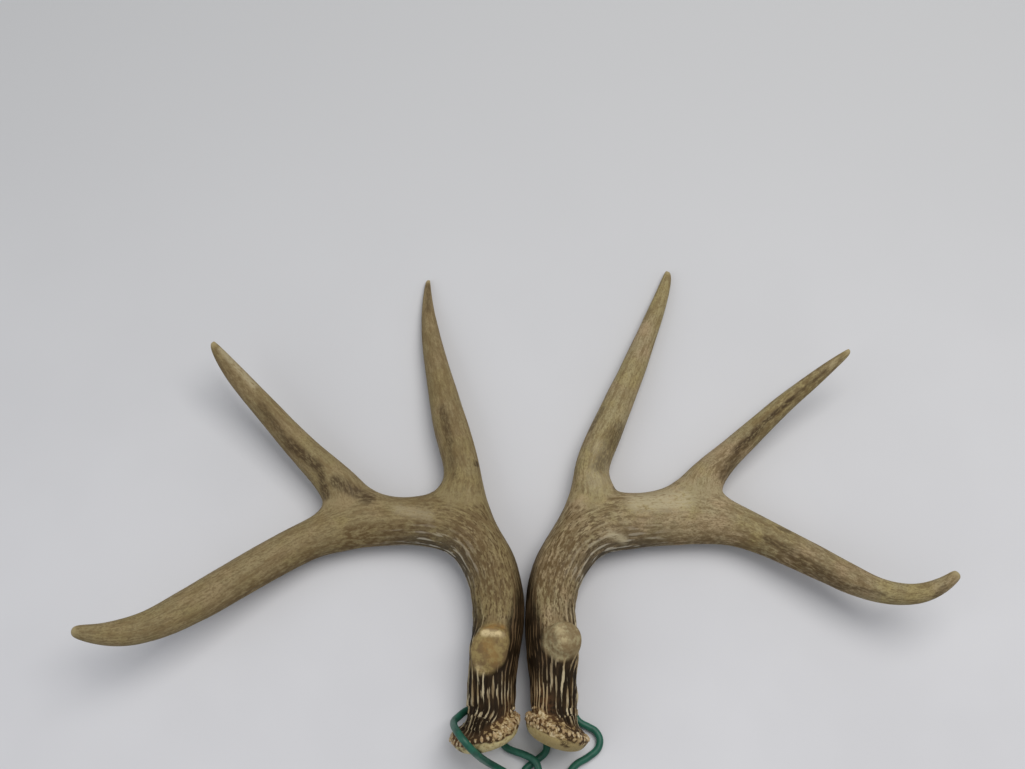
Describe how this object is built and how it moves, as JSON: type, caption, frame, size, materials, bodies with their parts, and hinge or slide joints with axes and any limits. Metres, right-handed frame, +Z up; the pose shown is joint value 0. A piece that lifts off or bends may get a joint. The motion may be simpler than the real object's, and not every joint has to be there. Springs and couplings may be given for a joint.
{
  "type": "tied pair of deer antlers",
  "caption": "Matched left and right shed deer antlers with pearled burrs and cut brow stubs, laid side by side and looped together at the burrs with a thin green cord.",
  "frame": {"origin": "on the surface that the pair lies on, under the middle of the two antlers' box", "axes": "+X to the right antler's tips, +Y from the burrs to the tine tips, +Z up"},
  "size_m": [0.5506, 0.3766, 0.0579],
  "materials": {
    "lower_beam_antler": "raised pale ridges over dark brown grooves, dry and half matt",
    "upper_beam_antler": "weathered grey-tan with fine brown lines along the beam, half matt",
    "tine_antler": "grey-tan turning to worn ivory at the tips, faint polish",
    "tie_cord": "dark green smooth round cord, faint sheen"
  },
  "bodies": {
    "root": {"left_lower_beam": "lower_beam_antler", "left_middle_beam": "upper_beam_antler", "left_second_tine": "tine_antler", "left_third_tine": "tine_antler", "left_beam_tip": "upper_beam_antler", "right_lower_beam": "lower_beam_antler", "right_middle_beam": "upper_beam_antler", "right_second_tine": "tine_antler", "right_third_tine": "tine_antler", "right_beam_tip": "upper_beam_antler", "tie_cord": "tie_cord", "tie_knot": "tie_cord"}
  },
  "joints": []
}
